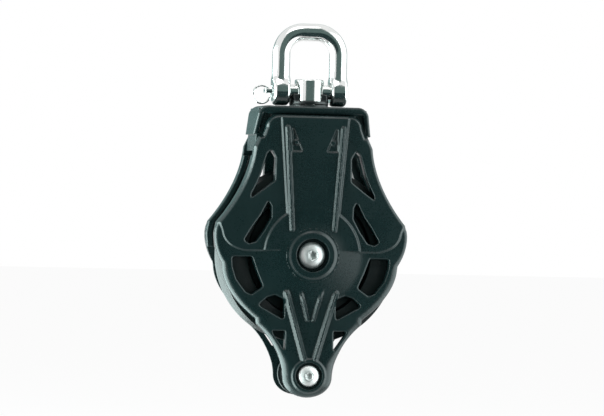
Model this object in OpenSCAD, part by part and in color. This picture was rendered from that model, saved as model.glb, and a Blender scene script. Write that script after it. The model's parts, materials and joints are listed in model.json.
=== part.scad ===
// Swivel sailing block with a becket: a ball-bearing sheave between two moulded cheeks,
// hung from a bow shackle on a swivel post.
// +Z is up, +Y runs from the front cheek to the rear cheek, and the origin is the point
// under the shackle's crown where the load hangs. All sizes are in millimetres.

/* [Shackle] */
// Thickness of the shackle's round bar
bar_d = 6.3; // [5.4:0.1:6.4]
// Distance between the centre lines of the two legs
leg_pitch = 20.8; // [20.8:0.1:23]
// Radius of the bend at each corner of the crown, on the centre line
crown_bend_r = 8; // [7:0.1:9]
// Height inside the bow, from the pin's axis to the crown
bow_inside_h = 18.1; // [16:0.1:26]
// Diameter of the round ear on each leg
ear_d = 10; // [9:0.1:10]
// Thickness of each ear along the pin
ear_t = 5.9; // [5:0.1:6]
// Diameter of the shackle pin
pin_d = 5; // [4:0.1:5.4]
// Diameter of the pin's head
pin_head_d = 7.2; // [6.5:0.1:7.6]
// Thickness of the pin's head, which is sunk into the right ear
pin_head_t = 1.0; // [0.8:0.1:2]
// Thickness of the pin's flat tail that takes the split ring
tail_t = 1.6; // [1.2:0.1:1.8]
// Length of the pin's tail beyond the ear
tail_len = 2.9; // [2.8:0.1:3.4]
// Outer diameter of the split ring
ring_d = 7.2; // [6.8:0.1:8]
// Wire thickness of the split ring
ring_wire = 0.9; // [0.7:0.05:1]
// How far the split ring hangs below level, in degrees
ring_sag = 25; // [10:1:28]

/* [Swivel] */
// Diameter of the post's upper barrel
post_d = 10.4; // [9:0.1:10.8]
// Height of the post above the pin's axis
post_above_pin = 4.4; // [3.8:0.1:6]
// Diameter of the post's neck inside the head
neck_d = 7; // [6:0.1:8]
// Outer diameter of the collar under the barrel
collar_d = 13.8; // [12.8:0.1:13.8]
// Thickness of the collar
collar_t = 1.2; // [0.8:0.1:1.5]
// Wall of the flanged bush around the neck
bush_wall = 1; // [0.8:0.1:1.4]
// Thickness of the bush's flange
bush_flange_t = 0.6; // [0.4:0.1:0.8]
// Thickness of the thrust washer under the head
washer_t = 0.8; // [0.6:0.1:1.2]
// Outer diameter of the thrust washer
washer_d = 14; // [13:0.1:14.6]
// Width across the flats of the swivel nut
nut_af = 11; // [10:0.1:12]
// Height of the swivel nut
nut_h = 3.4; // [3:0.1:4]
// Diameter of the pin that locks the swivel nut
lock_pin_d = 1.5; // [1.2:0.1:1.8]

/* [Head] */
// Height from the sheave axle to the shackle pin
axle_to_pin = 58; // [58:0.1:58.8]
// Height from the axle to the flat top of the head
head_top = 52.7; // [52.2:0.1:52.7]
// Width of the head at the foot of its side skirts
head_w = 42.8; // [42.6:0.1:44]
// How much further each skirt stands out at its foot than at the head's top
skirt_flare = 1.9; // [1.4:0.1:2]
// Depth of the head's cap from front to rear
head_depth = 19.6; // [18:0.1:24]
// Depth of each skirt at its foot
skirt_foot_depth = 15.4; // [12:0.1:17]
// Thickness of the head's cap over the cheeks
cap_t = 2.9; // [2.4:0.1:3.4]
// Thickness of each side skirt
skirt_t = 2.1; // [1.6:0.1:2.4]
// Height of the side skirts from the head's top
skirt_h = 10.4; // [9:0.1:10.8]
// Width of the block that hangs from the cap between the cheeks
core_w = 31; // [29:0.1:33]
// Height of that block below the cap
core_h = 6.4; // [5.8:0.1:7]
// Height over the axle of the foot of the head's two legs between the cheeks
leg_foot = 36.6; // [36:0.1:38]
// Distance between the two cross pins that hold the cheeks
head_pin_pitch = 23.6; // [22.4:0.1:24.4]
// Diameter of the cross pins
head_pin_d = 3; // [2.4:0.1:3.4]
// Thickness of the plate that the thrust washer bears on
bearing_plate_t = 4.4; // [4.2:0.1:4.6]
// How far each cross pin reaches into a cheek
head_pin_seat = 2.4; // [1.8:0.1:2.8]
// Height of the cross pins above the foot of the head's block
head_pin_up = 2.1; // [1.9:0.1:2.6]

/* [Sheave] */
// Outer diameter of the sheave
sheave_d = 63; // [58:0.5:63]
// Width of the sheave
sheave_w = 15; // [14:0.1:15.2]
// Diameter of the thickest rope, which sets the groove
rope_d = 10; // [8:0.1:11]
// Depth of the groove from the rim
groove_depth = 7.6; // [6.5:0.1:8]
// Width of the flat edge at each side of the sheave's rim
rim_land = 0.3; // [0.2:0.1:1]
// Diameter of a bearing ball
ball_d = 4.76; // [4:0.02:4.9]
// Diameter of the circle that the ball centres lie on
ball_pitch_d = 24; // [23.6:0.1:26]
// Balls in one row
balls_per_row = 14; // [10:1:14]

/* [Cheeks] */
// Distance between the inner faces of the two cheeks
cheek_gap = 16.6; // [16.4:0.1:18]
// Thickness of the lower ring and of the becket tongue
ring_t = 2.8; // [2.4:0.1:3.2]
// Thickness of the shoulders above the axle
shoulder_t = 3.7; // [3.4:0.1:4.4]
// Thickness of the cheek at its hub
hub_t = 5.7; // [5.2:0.1:6.2]
// Half the width of the cheek beside the head's skirts
neck_half_w = 17.4; // [17:0.1:17.8]
// Radius of the cheek's two upper corners
neck_corner_r = 4.4; // [2:0.1:5]
// Half the width of the cheek at its shoulders
shoulder_half_w = 35.1; // [34:0.1:36]
// Height from the axle to the shoulder's widest point
shoulder_z = 6.5; // [5:0.1:8]
// Width of the lower ring
guard_d = 63.8; // [62.6:0.1:65]
// Half the width of the ring's foot, where the outer struts of the tongue start
foot_half_w = 20.6; // [20.4:0.1:22]
// Depth of the ring's foot below the axle
foot_drop = 21.9; // [21.6:0.1:23]
// Diameter of the raised hub disc
hub_d = 36.4; // [33:0.1:37.4]
// Height of the ribs above the shoulder's face
rib_h = 1.7; // [0.8:0.1:2]
// Width of each rib
rib_w = 3.4; // [2.4:0.1:3.8]
// Half the width of the web between its two upper openings
web_half_w = 13.6; // [13:0.1:14.4]
// Width of the band between each flank and the openings
band_w = 4.8; // [4:0.1:5.4]
// Gap between the hub disc and the openings around it
hub_margin = 1.4; // [1:0.1:2]
// How far the lip along each flank stands in from the cheek's inner face
lip_in = 2; // [1:0.1:2]
// Width of that lip
lip_w = 2.2; // [1.6:0.1:2.4]
// Half the width of the tongue between its corner openings
tongue_half_w = 9.4; // [9:0.1:10]

/* [Fasteners] */
// Diameter of the axle barrel
axle_d = 7; // [6:0.1:8]
// Diameter of the centre screw
centre_screw_d = 5; // [4:0.1:5.4]
// Diameter of the two domed heads at the hub
centre_head_d = 9.5; // [9:0.1:10.6]
// Height of the domed heads at the hub
centre_head_h = 2.7; // [2.4:0.1:3]
// Diameter of the recess around each domed head
centre_recess_d = 11.8; // [11.2:0.1:13]
// Depth of the recess around each domed head
centre_recess = 3; // [2.9:0.1:3.2]

/* [Becket] */
// Distance from the sheave axle down to the becket pin
axle_to_becket = 42.8; // [42:0.1:44]
// Half the width of each tongue at the becket pin
eye_r = 9.2; // [8.8:0.1:9.6]
// Distance from the becket pin down to the end of each tongue
eye_drop = 8; // [7.8:0.1:9]
// Diameter of the becket barrel
becket_d = 5.4; // [4.8:0.1:6]
// Diameter of the becket screw
becket_screw_d = 4; // [3:0.1:4.2]
// Diameter of the two domed heads at the becket
becket_head_d = 7.6; // [7:0.1:8.4]
// Height of the domed heads at the becket
becket_head_h = 2.2; // [1.8:0.1:2.4]
// Diameter of the recess around each becket head
becket_recess_d = 9.6; // [9:0.1:10.2]
// Depth of the recess around each becket head
becket_recess = 1.6; // [1.2:0.1:1.8]
// Diameter of the grooved roller on the becket barrel, over its flanges
roller_d = 15.4; // [14:0.1:15.6]
// Diameter of that roller at the floor of its groove
roller_waist_d = 8.4; // [7.6:0.1:9]
// Thickness of each of the roller's flanges at its rim
roller_flange = 1.6; // [1:0.1:2.4]

/* [Hidden] */
$fn = 96;
// Radial clearance of a running fit
fit = 0.05;
// Clearance of a part that is fixed in its hole
seat = 0.03;
// Play between moving faces
play = 0.15;
// Gap between parts that must stay clear of each other
clear_gap = 0.3;
// Overlap that joins the shapes of one solid
bite = 0.4;
// How far a cut runs past a face
past = 1;
// How far the post's thread shows below its nut
thread_end = 0.4;

pin_z = -bow_inside_h;
axle_z = pin_z - axle_to_pin;
becket_z = axle_z - axle_to_becket;
leg_x = leg_pitch / 2;
bar_r = bar_d / 2;
ear_in = leg_x - ear_t / 2;
ear_out = leg_x + ear_t / 2;

// The ring's wire slants through the hole in the pin's tail. These are its inner side at the
// tail's upper face and its outer side at the lower face, measured from the ring's centre
ring_r = (ring_d - ring_wire) / 2;
wire_near = sqrt(pow(ring_r - ring_wire / 2, 2) - pow(ring_r * sin(ring_sag) + tail_t / 2, 2));
wire_far = sqrt(pow(ring_r + ring_wire / 2, 2) - pow(max(0, ring_r * sin(ring_sag) - tail_t / 2), 2));
ring_x = ear_out + clear_gap + ring_r + ring_wire / 2;
hole_x = ring_x - (wire_near + wire_far) / 2;
hole_r = (wire_far - wire_near) / 2 + play;

head_z = axle_z + head_top;
cap_z = head_z - cap_t;
core_z = cap_z - core_h;
pocket_z = head_z - bearing_plate_t;
flange_z = head_z + bush_flange_t;
collar_z = flange_z + play;
barrel_foot_z = collar_z + collar_t;
washer_z = pocket_z - play - washer_t;
nut_z = washer_z - nut_h;
post_end_z = nut_z - thread_end;
lock_z = nut_z + nut_h / 2;
bush_r = neck_d / 2 + fit + bush_wall;
pocket_r = washer_d / 2 + 0.5;
head_pin_z = core_z + head_pin_up;
cheek_top = head_top - cap_t - clear_gap;

cheek_in = cheek_gap / 2;
ring_face = cheek_in + ring_t;
shoulder_face = cheek_in + shoulder_t;
hub_face = cheek_in + hub_t;
centre_floor = hub_face - centre_recess;
becket_face = ring_face + 0.8;
becket_floor = becket_face - becket_recess;
guard_r = guard_d / 2;
hub_r = hub_d / 2;
hub_top_r = centre_recess_d / 2 + 2.6;
hub_slope_top = hub_face - 0.7;
hub_slope_foot = ring_face + 0.3;

race_r = ball_pitch_d / 2 - ball_d / 2 - fit;
bore_r = ball_pitch_d / 2 + ball_d / 2 + fit;
row_y = ball_d / 2 + 0.2;
retainer_in = row_y + ball_d / 2 + 0.2;
retainer_t = 1;
side_washer_t = 0.5;
side_washer_r = bore_r + 2;

steel = "silver";
composite = "#26383a";
bearing_plastic = "#1c1f20";
ball_white = "#e8e6de";

// One point of a cubic curve through four control points
function bend(p, t) =
    pow(1 - t, 3) * p[0] + 3 * pow(1 - t, 2) * t * p[1]
    + 3 * (1 - t) * t * t * p[2] + t * t * t * p[3];
// The curve as a list of points
function curve(p, steps) = [for (i = [0 : steps]) bend(p, i / steps)];
// An arc about the origin, in degrees
function arc(r, from, to, steps) =
    [for (i = [0 : steps]) r * [cos(from + (to - from) * i / steps), sin(from + (to - from) * i / steps)]];
// The same outline on the other side of the centre line
function flipped(points) = [for (i = [len(points) - 1 : -1 : 0]) [-points[i][0], points[i][1]]];

// Turns a drawing of X and Z into a slab that spans from y0 to y1
module slab(y0, y1) {
    translate([0, y1, 0]) rotate([90, 0, 0]) linear_extrude(y1 - y0) children();
}

// A round bar along Y
module rod_y(r, y0, y1) {
    translate([0, y1, 0]) rotate([90, 0, 0]) cylinder(r = r, h = y1 - y0);
}

// A round bar along X
module rod_x(r, x0, x1) {
    translate([x0, 0, 0]) rotate([0, 90, 0]) cylinder(r = r, h = x1 - x0);
}

module at_axle() {
    translate([0, 0, axle_z]) children();
}

module at_becket() {
    translate([0, 0, becket_z]) children();
}

module both_sides() {
    children();
    mirror([1, 0, 0]) children();
}

// One corner of the crown, a quarter of a ring
module crown_corner() {
    translate([leg_x - crown_bend_r, 0, bar_r - crown_bend_r])
        rotate([90, 0, 0])
            rotate_extrude(angle = 90) translate([crown_bend_r, 0]) circle(bar_r);
}

module shackle_bow() {
    leg_top = bar_r - crown_bend_r;
    color(steel) difference() {
        union() {
            both_sides() {
                crown_corner();
                translate([leg_x, 0, pin_z]) cylinder(r = bar_r, h = leg_top - pin_z);
                translate([0, 0, pin_z]) rod_x(ear_d / 2, ear_in, ear_out);
            }
            translate([0, 0, bar_r]) rod_x(bar_r, crown_bend_r - leg_x, leg_x - crown_bend_r);
        }
        translate([0, 0, pin_z]) {
            rod_x(pin_d / 2 + seat, -ear_out - past, ear_out + past);
            rod_x(pin_head_d / 2 + play, ear_out - pin_head_t - play, ear_out + past);
        }
    }
}

module shackle_pin() {
    tail_end = ear_out + tail_len;
    color(steel) translate([0, 0, pin_z]) difference() {
        union() {
            rod_x(pin_d / 2, -ear_out, ear_out - bite);
            rod_x(pin_head_d / 2, ear_out - pin_head_t, ear_out);
            intersection() {
                rod_x(pin_d / 2 - 0.6, -tail_end, -ear_out + bite);
                translate([-tail_end - past, -pin_d, -tail_t / 2]) cube([tail_end, 2 * pin_d, tail_t]);
            }
        }
        translate([-hole_x, 0, -pin_d]) cylinder(r = hole_r, h = 2 * pin_d);
    }
}

module split_ring() {
    color(steel) translate([-ring_x, 0, pin_z - ring_r * sin(ring_sag)]) rotate([90, 0, 0])
        rotate_extrude() translate([ring_r, 0]) circle(ring_wire / 2);
}

module swivel_post() {
    chamfer = 0.6;
    top_z = pin_z + post_above_pin;
    color(steel) difference() {
        union() {
            translate([0, 0, barrel_foot_z])
                cylinder(r = post_d / 2, h = top_z - chamfer - barrel_foot_z);
            translate([0, 0, top_z - chamfer])
                cylinder(r1 = post_d / 2, r2 = post_d / 2 - chamfer, h = chamfer);
            translate([0, 0, post_end_z]) cylinder(r = neck_d / 2, h = barrel_foot_z + bite - post_end_z);
        }
        translate([0, 0, pin_z]) rod_x(pin_d / 2 + fit, -post_d, post_d);
        translate([0, 0, lock_z]) rod_y(lock_pin_d / 2 + seat, -neck_d, neck_d);
    }
}

// A disc with a lug at each side of the post. Each lug's top is hollowed to clear the pin
module swivel_collar() {
    lug_in = post_d / 2 + play;
    lug_top = pin_z - 0.9;
    lug_w = 7.2;
    color(bearing_plastic) difference() {
        union() {
            translate([0, 0, collar_z]) cylinder(r = collar_d / 2, h = collar_t);
            intersection() {
                translate([0, 0, collar_z]) cylinder(r = collar_d / 2, h = lug_top - collar_z);
                both_sides() translate([lug_in, -lug_w / 2, collar_z])
                    cube([collar_d, lug_w, lug_top - collar_z]);
            }
        }
        translate([0, 0, collar_z - past]) cylinder(r = neck_d / 2 + seat, h = collar_t + 2 * past);
        translate([0, 0, collar_z + collar_t]) cylinder(r = lug_in, h = ear_d);
        translate([0, 0, pin_z]) rod_x(pin_d / 2 + clear_gap, -collar_d, collar_d);
    }
}

module thrust_washer() {
    color(steel) translate([0, 0, washer_z]) difference() {
        cylinder(r = washer_d / 2, h = washer_t);
        translate([0, 0, -past]) cylinder(r = neck_d / 2 + seat, h = washer_t + 2 * past);
    }
}

module swivel_nut() {
    color(steel) difference() {
        translate([0, 0, nut_z]) cylinder(d = nut_af / cos(30), h = nut_h, $fn = 6);
        translate([0, 0, nut_z - past]) cylinder(r = neck_d / 2 + seat, h = nut_h + 2 * past);
        translate([0, 0, lock_z]) rod_y(lock_pin_d / 2 + seat, -nut_af, nut_af);
    }
}

module nut_lock_pin() {
    color(steel) translate([0, 0, lock_z]) rod_y(lock_pin_d / 2, -nut_af / 2 + play, nut_af / 2 - play);
}

// Right half of the head seen from the front: a cap with a skirt that flares outwards
module head_half() {
    corner = 3.2;
    foot = head_w / 2;
    top = foot - skirt_flare;
    slope = skirt_flare / skirt_h;
    difference() {
        polygon(concat(
            [[-bite, head_z - skirt_h], [foot, head_z - skirt_h]],
            [for (p = arc(corner, 0, 90, 6)) p + [top + slope * corner - corner, head_z - corner]],
            [[-bite, head_z]]
        ));
        polygon([
            [-past, cap_z], [top - skirt_t + slope * cap_t, cap_z],
            [foot - skirt_t, head_z - skirt_h], [foot - skirt_t, head_z - skirt_h - past],
            [-past, head_z - skirt_h - past]
        ]);
    }
}

// The leg that closes the gap between the two cheeks below each skirt, flush with their flanks
module head_leg() {
    foot_z = axle_z + leg_foot;
    outer = neck_half_w + 3.4;
    polygon([
        [core_w / 2 - 2, cap_z + bite], [core_w / 2 - 2, core_z], [core_w / 2 + 1.6, foot_z], [outer, foot_z],
        [outer - 0.4, head_z - skirt_h + bite], [outer - 1.2, cap_z + bite]
    ]);
}

// The head from the side: as deep as its cap at the top, and less at the skirts' feet
module head_side() {
    top = head_depth / 2;
    foot = skirt_foot_depth / 2;
    polygon([
        [-top, head_z + past], [top, head_z + past], [top, cap_z],
        [foot, head_z - skirt_h - past], [-foot, head_z - skirt_h - past], [-top, cap_z]
    ]);
}

module head_yoke() {
    color(composite) difference() {
        union() {
            intersection() {
                slab(-head_depth, head_depth) both_sides() head_half();
                rotate([90, 0, 90]) linear_extrude(2 * head_w, center = true) head_side();
            }
            translate([-core_w / 2, -cheek_in + play, core_z])
                cube([core_w, cheek_gap - 2 * play, core_h + bite]);
            slab(play - skirt_foot_depth / 2, skirt_foot_depth / 2 - play) both_sides() head_leg();
        }
        translate([0, 0, core_z - past]) cylinder(r = bush_r + seat, h = head_z - core_z + 2 * past);
        translate([0, 0, core_z - past]) cylinder(r = pocket_r, h = pocket_z - core_z + past);
        both_sides() translate([head_pin_pitch / 2, 0, head_pin_z])
            rod_y(head_pin_d / 2 + seat, -head_depth, head_depth);
    }
}

module swivel_bush() {
    color(bearing_plastic) difference() {
        union() {
            translate([0, 0, pocket_z]) cylinder(r = bush_r, h = head_z - pocket_z + bush_flange_t);
            translate([0, 0, head_z]) cylinder(r = collar_d / 2, h = bush_flange_t);
        }
        translate([0, 0, pocket_z - past]) cylinder(r = neck_d / 2 + fit, h = head_z - pocket_z + 3 * past);
    }
}

module head_pins() {
    reach = cheek_in + head_pin_seat;
    color(steel) both_sides() translate([head_pin_pitch / 2, 0, head_pin_z]) rod_y(head_pin_d / 2, -reach, reach);
}

// The flank from under the head down to the shoulder, as X and height over the axle
flank = curve([
    [neck_half_w + 4.1, cheek_top - 11.4],
    [neck_half_w + 4.7, cheek_top - 19.6],
    [shoulder_half_w - 8.7, shoulder_z + 13.7],
    [shoulder_half_w - 1.1, shoulder_z + 4.6]
], 8);

// Right half of the cheek above the axle, down to where the shoulder starts to turn in
function upper_half() =
    let (under_skirt = head_top - skirt_h - clear_gap)
    concat(
        [[0, cheek_top]],
        [for (p = arc(neck_corner_r, 90, 0, 6)) p + [neck_half_w - neck_corner_r, cheek_top - neck_corner_r]],
        [[neck_half_w + 1.1, under_skirt], [neck_half_w + 2.4, under_skirt - clear_gap]],
        flank
    );

// The shoulder's raised face ends above the axle with a curved corner
function shoulder_half() =
    concat(
        upper_half(),
        curve([
            [shoulder_half_w - 2.3, shoulder_z + 1.6],
            [shoulder_half_w - 2.8, shoulder_z - 2.7],
            [shoulder_half_w - 6.4, 1.4],
            [shoulder_half_w - 11.4, 0.8]
        ], 6),
        [[0, 0.8]]
    );

// The whole outline of the lower level: shoulder, ring, strut and tongue
function ring_half() =
    concat(
        upper_half(),
        curve([
            [shoulder_half_w - 0.9, shoulder_z + 3.8],
            [shoulder_half_w + 0.8, shoulder_z + 0.5],
            [shoulder_half_w - 0.6, shoulder_z - 5.6],
            [guard_r, shoulder_z - 10]
        ], 6),
        curve([
            [guard_r - 0.1, shoulder_z - 11],
            [guard_r - 0.4, -foot_drop / 2],
            [foot_half_w + 5.9, 4.7 - foot_drop],
            [foot_half_w, -foot_drop]
        ], 8),
        [[foot_half_w - 1.2, -foot_drop - 1]],
        curve([
            [foot_half_w - 1.5, -foot_drop - 2.8],
            [foot_half_w - 6.6, -foot_drop - 7],
            [eye_r + 0.6, 7.8 - axle_to_becket],
            [eye_r, -axle_to_becket]
        ], 8),
        curve([
            [eye_r, -axle_to_becket - 0.1],
            [eye_r, -axle_to_becket - 0.6 * eye_drop],
            [0.57 * eye_r, -axle_to_becket - eye_drop],
            [0, -axle_to_becket - eye_drop]
        ], 8)
    );

module mirrored_outline(points) {
    polygon(points);
    polygon(flipped(points));
}

// The opening high in each flank. Its outer edge follows the flank
module upper_window() {
    polygon(concat(
        [[web_half_w + 0.2, cheek_top - 15.2], [web_half_w + 1.8, cheek_top - 12.5], [web_half_w + 3.2, cheek_top - 13.9]],
        [for (i = [3 : 5]) flank[i] - [band_w, 0]],
        [[web_half_w + 8.7, shoulder_z + 13.5], [web_half_w + 4.6, shoulder_z + 16.4], [web_half_w + 0.3, shoulder_z + 19.7]]
    ));
}

// The slanted opening beside the hub
module crescent_window() {
    polygon([
        [web_half_w + 1.3, 0.72 * hub_r], [web_half_w + 3.8, 0.47 * hub_r], [web_half_w + 6.6, 0.25 * hub_r],
        [web_half_w + 9, 0.21 * hub_r], [web_half_w + 10.8, 0.27 * hub_r], [web_half_w + 8, 0.53 * hub_r],
        [web_half_w + 5, 0.76 * hub_r], [web_half_w + 2.4, 1.04 * hub_r], [web_half_w + 1.4, 0.93 * hub_r]
    ]);
}

// The opening in the lower ring below each shoulder
module ring_window() {
    outer = guard_r - band_w + 1.3;
    inner = hub_r + hub_margin;
    polygon([
        [inner + 1.8, -0.9], [outer, -1], [outer - 0.2, -4.4], [outer - 1.6, -8.8], [outer - 5, -13.2],
        [inner + 1.6, -14.2], [inner - 2.4, -11.4], [inner, -5.9]
    ]);
}

// The opening beside the becket tongue
module corner_window() {
    polygon([
        [tongue_half_w, 2.4 - hub_r], [tongue_half_w + 3.3, 3.9 - hub_r], [tongue_half_w + 6, 3.1 - hub_r],
        [tongue_half_w + 9.2, 0.3 - hub_r], [tongue_half_w, -foot_drop - 1]
    ]);
}

// The slot between the tongue and its thin outer strut
module strut_slot() {
    top = -foot_drop - 5;
    polygon([[eye_r - 0.4, top], [eye_r + 4.3, top], [eye_r + 3.2, top - 2], [eye_r - 0.4, top - 7.2]]);
}

module windows() {
    both_sides() {
        upper_window();
        crescent_window();
        ring_window();
        corner_window();
        strut_slot();
    }
}

module shoulders_outline() {
    mirrored_outline(shoulder_half());
}

module ring_outline() {
    mirrored_outline(ring_half());
}

// The lip inside each flank, which narrows the gap between the cheeks beside the rope
module flank_lip() {
    edge = concat(
        [for (i = [1 : 8]) flank[i]],
        [[shoulder_half_w - 0.3, shoulder_z + 0.6], [shoulder_half_w - 0.8, shoulder_z - 4.5]]
    );
    polygon(concat(edge, [for (i = [len(edge) - 1 : -1 : 0]) edge[i] - [lip_w, 0]]));
}

// A straight rib from p to q, w wide, drawn as X and height over the axle
module rib_line(p, q, w) {
    side = [q[1] - p[1], p[0] - q[0]] / norm(q - p) * w / 2;
    polygon([p + side, q + side, q - side, p - side]);
}

// Two ribs bound the web between the head and the hub
module web_ribs() {
    both_sides() rib_line([web_half_w - 3.4, cheek_top - 2.8], [0.43 * hub_r, 0.55 * hub_r], rib_w);
}

// Ribs run down the tongue in a V
module tongue_ribs() {
    both_sides() {
        rib_line([0.49 * hub_r, -0.74 * hub_r], [0.22 * eye_r, 5.8 - axle_to_becket], 2.2);
        rib_line([0.22 * hub_r, -0.66 * hub_r], [0.06 * hub_r, -1.26 * hub_r], 1.2);
    }
}

// The hub slopes from its raised middle down to the level of the lower ring
module hub_cone() {
    rotate([-90, 0, 0]) rotate_extrude() polygon([
        [0, cheek_in], [hub_r, cheek_in], [hub_r, hub_slope_foot], [hub_top_r, hub_slope_top], [0, hub_slope_top]
    ]);
}

// One cheek, built on the rear side. Its inner face is flat
module cheek_shell() {
    skin = 0.8;
    difference() {
        union() {
            slab(cheek_in, ring_face) difference() {
                ring_outline();
                windows();
            }
            slab(cheek_in, shoulder_face) difference() {
                shoulders_outline();
                windows();
            }
            slab(cheek_in, shoulder_face + skin) mirrored_outline([
                [0, 0.5 * hub_r], [0.5 * hub_r, 0.5 * hub_r],
                [web_half_w - 1.4, cheek_top - 1.2], [0, cheek_top - 1.2]
            ]);
            slab(cheek_in, shoulder_face + rib_h) web_ribs();
            slab(cheek_in - lip_in, cheek_in + bite) both_sides() flank_lip();
            slab(cheek_in, shoulder_face + skin) intersection() {
                circle(hub_r);
                shoulders_outline();
            }
            hub_cone();
            rod_y(hub_top_r, cheek_in, hub_face);
            slab(cheek_in, becket_face + 0.4) tongue_ribs();
            translate([0, 0, -axle_to_becket]) rod_y(becket_recess_d / 2 + 1.6, cheek_in, becket_face);
        }
        rod_y(axle_d / 2 + seat, 0, 2 * hub_face);
        rod_y(centre_recess_d / 2, centre_floor, 2 * hub_face);
        translate([0, 0, -axle_to_becket]) {
            rod_y(becket_d / 2 + seat, 0, 2 * hub_face);
            rod_y(becket_recess_d / 2, becket_floor, 2 * hub_face);
        }
        both_sides() translate([head_pin_pitch / 2, 0, head_pin_z - axle_z])
            rod_y(head_pin_d / 2 + seat, 0, cheek_in + head_pin_seat + play);
    }
}

module front_cheek() {
    color(composite) at_axle() mirror([0, 1, 0]) cheek_shell();
}

module rear_cheek() {
    color(composite) at_axle() cheek_shell();
}

module sheave() {
    half = sheave_w / 2;
    rim_r = sheave_d / 2;
    groove_r = rope_d / 2;
    floor_r = rim_r - groove_depth;
    wall_to = floor_r - 1.6;
    wall_from = bore_r + 2.4;
    side_cut = 2.2;
    seat_r = floor_r + groove_r;
    mouth_half = half - rim_land;
    color(bearing_plastic) at_axle() rotate([90, 0, 0]) rotate_extrude() difference() {
        translate([bore_r, -half]) square([rim_r - bore_r, sheave_w]);
        translate([seat_r, 0]) circle(groove_r);
        polygon([
            [seat_r, -groove_r], [rim_r, -mouth_half], [rim_r + past, -mouth_half],
            [rim_r + past, mouth_half], [rim_r, mouth_half], [seat_r, groove_r]
        ]);
        translate([wall_from, half - side_cut]) square([wall_to - wall_from, side_cut + past]);
        translate([wall_from, -half - past]) square([wall_to - wall_from, side_cut + past]);
    }
}

module inner_race() {
    color(bearing_plastic) at_axle() difference() {
        rod_y(race_r, -cheek_in, cheek_in);
        rod_y(axle_d / 2 + seat, -cheek_in - past, cheek_in + past);
    }
}

module bearing_balls() {
    color(ball_white) at_axle() for (row = [-1, 1], i = [0 : balls_per_row - 1])
        rotate([0, (i + row / 4) * 360 / balls_per_row, 0])
            translate([ball_pitch_d / 2, row * row_y, 0]) sphere(ball_d / 2);
}

// A ring that keeps the balls of one row in, on the rear side
module ball_retainer() {
    difference() {
        rod_y(bore_r - clear_gap, retainer_in, retainer_in + retainer_t);
        rod_y(race_r + seat, retainer_in - past, retainer_in + retainer_t + past);
    }
}

module front_ball_retainer() {
    color(bearing_plastic) at_axle() mirror([0, 1, 0]) ball_retainer();
}

module rear_ball_retainer() {
    color(bearing_plastic) at_axle() ball_retainer();
}

// A thin ring between the sheave and one cheek, on the rear side
module side_washer() {
    y0 = cheek_in - play - side_washer_t;
    difference() {
        rod_y(side_washer_r, y0, y0 + side_washer_t);
        rod_y(race_r + seat, y0 - past, y0 + side_washer_t + past);
    }
}

module front_side_washer() {
    color(ball_white) at_axle() mirror([0, 1, 0]) side_washer();
}

module rear_side_washer() {
    color(ball_white) at_axle() side_washer();
}

// A domed head that stands on y = 0 and faces +Y
module domed_head(d, h) {
    rim_h = 0.35 * h;
    dome_r = (d * d / 4 + (h - rim_h) * (h - rim_h)) / (2 * (h - rim_h));
    intersection() {
        rod_y(d / 2, 0, h);
        translate([0, h - dome_r, 0]) sphere(dome_r);
    }
}

// A six-sided socket of width af, depth deep, cut into a head of height h
module socket(af, deep, h) {
    translate([0, h + past, 0]) rotate([90, 0, 0]) cylinder(d = af / cos(30), h = deep + past, $fn = 6);
}

module axle_barrel() {
    barrel_end = -centre_floor + 0.4;
    color(steel) at_axle() difference() {
        union() {
            translate([0, centre_floor, 0]) domed_head(centre_head_d, centre_head_h);
            rod_y(axle_d / 2, barrel_end, centre_floor + bite);
        }
        rod_y(centre_screw_d / 2 + seat, barrel_end - past, centre_floor - 2);
        translate([0, centre_floor, 0]) socket(3, 1.6, centre_head_h);
    }
}

module centre_screw() {
    color(steel) at_axle() mirror([0, 1, 0]) difference() {
        union() {
            translate([0, centre_floor, 0]) domed_head(centre_head_d, centre_head_h);
            rod_y(centre_screw_d / 2, -centre_floor + 4, centre_floor + bite);
        }
        translate([0, centre_floor, 0]) socket(3, 1.6, centre_head_h);
    }
}

module becket_barrel() {
    barrel_end = -becket_floor + 0.4;
    color(steel) at_becket() difference() {
        union() {
            translate([0, becket_floor, 0]) domed_head(becket_head_d, becket_head_h);
            rod_y(becket_d / 2, barrel_end, becket_floor + bite);
        }
        rod_y(becket_screw_d / 2 + seat, barrel_end - past, becket_floor - 2);
        translate([0, becket_floor, 0]) socket(2.5, 1.3, becket_head_h);
    }
}

module becket_screw() {
    color(steel) at_becket() mirror([0, 1, 0]) difference() {
        union() {
            translate([0, becket_floor, 0]) domed_head(becket_head_d, becket_head_h);
            rod_y(becket_screw_d / 2, -becket_floor + 4, becket_floor + bite);
        }
        translate([0, becket_floor, 0]) socket(2.5, 1.3, becket_head_h);
    }
}

// A grooved roller that the rope's eye bears on
module becket_roller() {
    half = cheek_in - play;
    rim_r = roller_d / 2;
    waist_r = roller_waist_d / 2;
    bend_r = rim_r - waist_r;
    groove_half = half - roller_flange;
    color(bearing_plastic) at_becket() rotate([90, 0, 0]) rotate_extrude() difference() {
        translate([becket_d / 2 + fit, -half]) square([rim_r - becket_d / 2 - fit, 2 * half]);
        for (side = [-1, 1]) translate([rim_r, side * (groove_half - bend_r)]) circle(bend_r);
        translate([waist_r, bend_r - groove_half]) square([rim_r, 2 * (groove_half - bend_r)]);
    }
}

shackle_bow();
shackle_pin();
split_ring();
swivel_post();
swivel_collar();
thrust_washer();
swivel_nut();
nut_lock_pin();
head_yoke();
swivel_bush();
head_pins();
front_cheek();
rear_cheek();
sheave();
inner_race();
bearing_balls();
front_ball_retainer();
rear_ball_retainer();
front_side_washer();
rear_side_washer();
axle_barrel();
centre_screw();
becket_barrel();
becket_screw();
becket_roller();
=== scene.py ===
import json
import math

import bmesh
import bpy
import numpy as np
import openvdb
from mathutils import Matrix, Vector


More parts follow.
